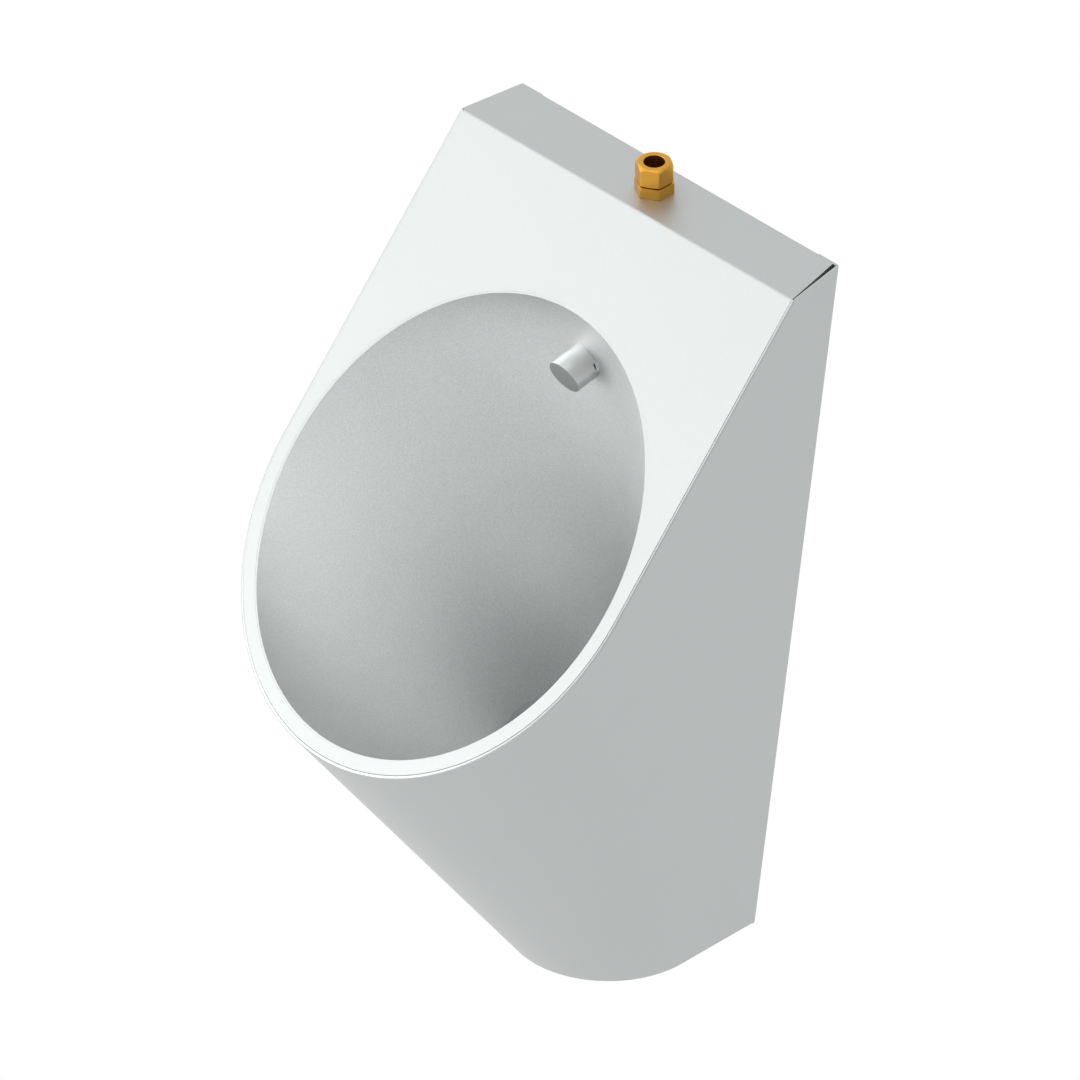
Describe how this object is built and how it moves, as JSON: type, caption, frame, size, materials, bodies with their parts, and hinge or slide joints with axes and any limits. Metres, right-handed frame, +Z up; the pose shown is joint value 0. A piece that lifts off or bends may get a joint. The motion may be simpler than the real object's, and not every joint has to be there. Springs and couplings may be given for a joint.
{
  "type": "wall hung urinal",
  "caption": "Wall hung steel urinal with a sloped front, oval bowl, top water inlet, spray head, bottle trap and hook-on wall bracket.",
  "frame": {"origin": "midway between the two wall bracket screws, on the wall's face, 500 mm above the base", "axes": "+Z up, +Y into the wall, +X to the right as one faces the urinal"},
  "size_m": [0.3274, 0.392, 0.624],
  "materials": {
    "satin_steel": "fine satin",
    "bowl_steel": "bead blasted satin",
    "polished_steel": "polished",
    "tube_steel": "drawn tube",
    "bracket_steel": "galvanised",
    "zinc": "zinc plated",
    "brass": "machined, satin",
    "rubber": "matt moulded",
    "fibre": "pressed fibre",
    "white_plastic": "moulded"
  },
  "bodies": {
    "urinal": {"wall_bracket": "bracket_steel", "hanger_rail": "bracket_steel", "body_shell": "satin_steel", "front_panel": "satin_steel", "bowl": "bowl_steel", "earth_tag": "bracket_steel", "earth_bolt": "zinc", "earth_washers": "zinc", "earth_nut": "zinc", "inlet_body": "brass", "inlet_washer": "fibre", "inlet_locknut": "brass", "flush_pipe": "tube_steel", "spray_head": "bowl_steel", "spray_gasket": "rubber", "spray_backnut": "brass", "spray_union_nut": "brass", "waste_body": "polished_steel", "waste_seal": "rubber", "waste_gasket": "rubber", "waste_backnut": "brass", "trap_body": "white_plastic", "trap_inlet_nut": "white_plastic", "trap_inlet_washer": "rubber", "trap_outlet_nut": "white_plastic", "trap_outlet_washer": "rubber", "outlet_pipe": "white_plastic"},
    "strainer": {"strainer": "polished_steel"},
    "inlet_olive": {"inlet_olive": "brass"},
    "inlet_nut": {"inlet_nut": "brass"},
    "trap_cup_seal": {"trap_cup_seal": "rubber"},
    "trap_cup": {"trap_cup": "white_plastic"}
  },
  "joints": [
    {"name": "strainer_lift", "type": "slide", "parent": "urinal", "child": "strainer", "axis": [0, 0, 1], "range_m": [0, 0.04]},
    {"name": "inlet_nut_travel", "type": "slide", "parent": "urinal", "child": "inlet_olive", "axis": [0, 0, 1], "range_m": [0, 0.00726]},
    {"name": "inlet_nut_turn", "type": "hinge", "parent": "inlet_olive", "child": "inlet_nut", "pos_m": [0, -0.02625, 0.112], "axis": [0, 0, 1], "range_deg": [0, 1440]},
    {"name": "trap_cup_travel", "type": "slide", "parent": "urinal", "child": "trap_cup_seal", "axis": [0, 0, -1], "range_m": [0, 0.0144]},
    {"name": "trap_cup_turn", "type": "hinge", "parent": "trap_cup_seal", "child": "trap_cup", "pos_m": [0, -0.095, -0.47], "axis": [0, 0, -1], "range_deg": [0, 1440]}
  ],
  "couplings": [
    {"joint": "inlet_nut_travel", "follows": "inlet_nut_turn", "m_per_rad": 0.0002887},
    {"joint": "trap_cup_travel", "follows": "trap_cup_turn", "m_per_rad": 0.00057295}
  ]
}
